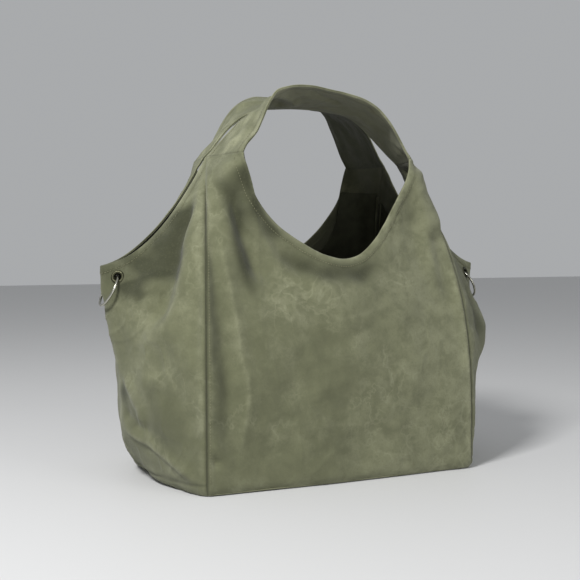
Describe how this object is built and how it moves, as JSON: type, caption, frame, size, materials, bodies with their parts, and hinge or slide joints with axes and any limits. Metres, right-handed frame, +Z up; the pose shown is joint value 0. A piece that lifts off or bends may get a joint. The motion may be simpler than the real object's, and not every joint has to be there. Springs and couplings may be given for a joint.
{
  "type": "hobo bag",
  "caption": "Slouchy canvas shoulder bag with a scooped mouth, a wide forked handle, folded wing gussets, side eyelets and hanging rings.",
  "frame": {"origin": "middle of the base, where the bag stands", "axes": "+Z up, the front panel faces -Y, +X along the bag's width"},
  "size_m": [0.5182, 0.26, 0.461],
  "materials": {
    "canvas": "washed olive cotton canvas",
    "facing_canvas": "the same canvas, seen on the inside",
    "lining_cloth": "plain dark olive lining",
    "board": "bag maker's base board",
    "eyelet_brass": "antique brass, rubbed on its high spots",
    "ring_steel": "plated steel wire"
  },
  "bodies": {
    "bag": {"back_lining": "lining_cloth", "back_neck_facing": "facing_canvas", "back_panel": "canvas", "back_strap": "canvas", "back_strap_lining": "facing_canvas", "base_board": "board", "base_lining": "lining_cloth", "base_panel": "canvas", "front_lining": "lining_cloth", "front_neck_facing": "facing_canvas", "front_panel": "canvas", "front_strap": "canvas", "front_strap_lining": "facing_canvas", "left_back_eyelet": "eyelet_brass", "left_back_eyelet_washer": "eyelet_brass", "left_front_eyelet": "eyelet_brass", "left_front_eyelet_washer": "eyelet_brass", "left_gusset": "canvas", "left_gusset_facing": "facing_canvas", "left_gusset_lining": "lining_cloth", "right_back_eyelet": "eyelet_brass", "right_back_eyelet_washer": "eyelet_brass", "right_front_eyelet": "eyelet_brass", "right_front_eyelet_washer": "eyelet_brass", "right_gusset": "canvas", "right_gusset_facing": "facing_canvas", "right_gusset_lining": "lining_cloth"},
    "left_ring": {"left_ring": "ring_steel"},
    "right_ring": {"right_ring": "ring_steel"}
  },
  "joints": [
    {"name": "left_ring_swing", "type": "hinge", "parent": "bag", "child": "left_ring", "pos_m": [-0.24044, 0, 0.23843], "axis": [0, 1, 0], "range_deg": [0, 110]},
    {"name": "right_ring_swing", "type": "hinge", "parent": "bag", "child": "right_ring", "pos_m": [0.24044, 0, 0.23843], "axis": [0, -1, 0], "range_deg": [0, 110]}
  ]
}
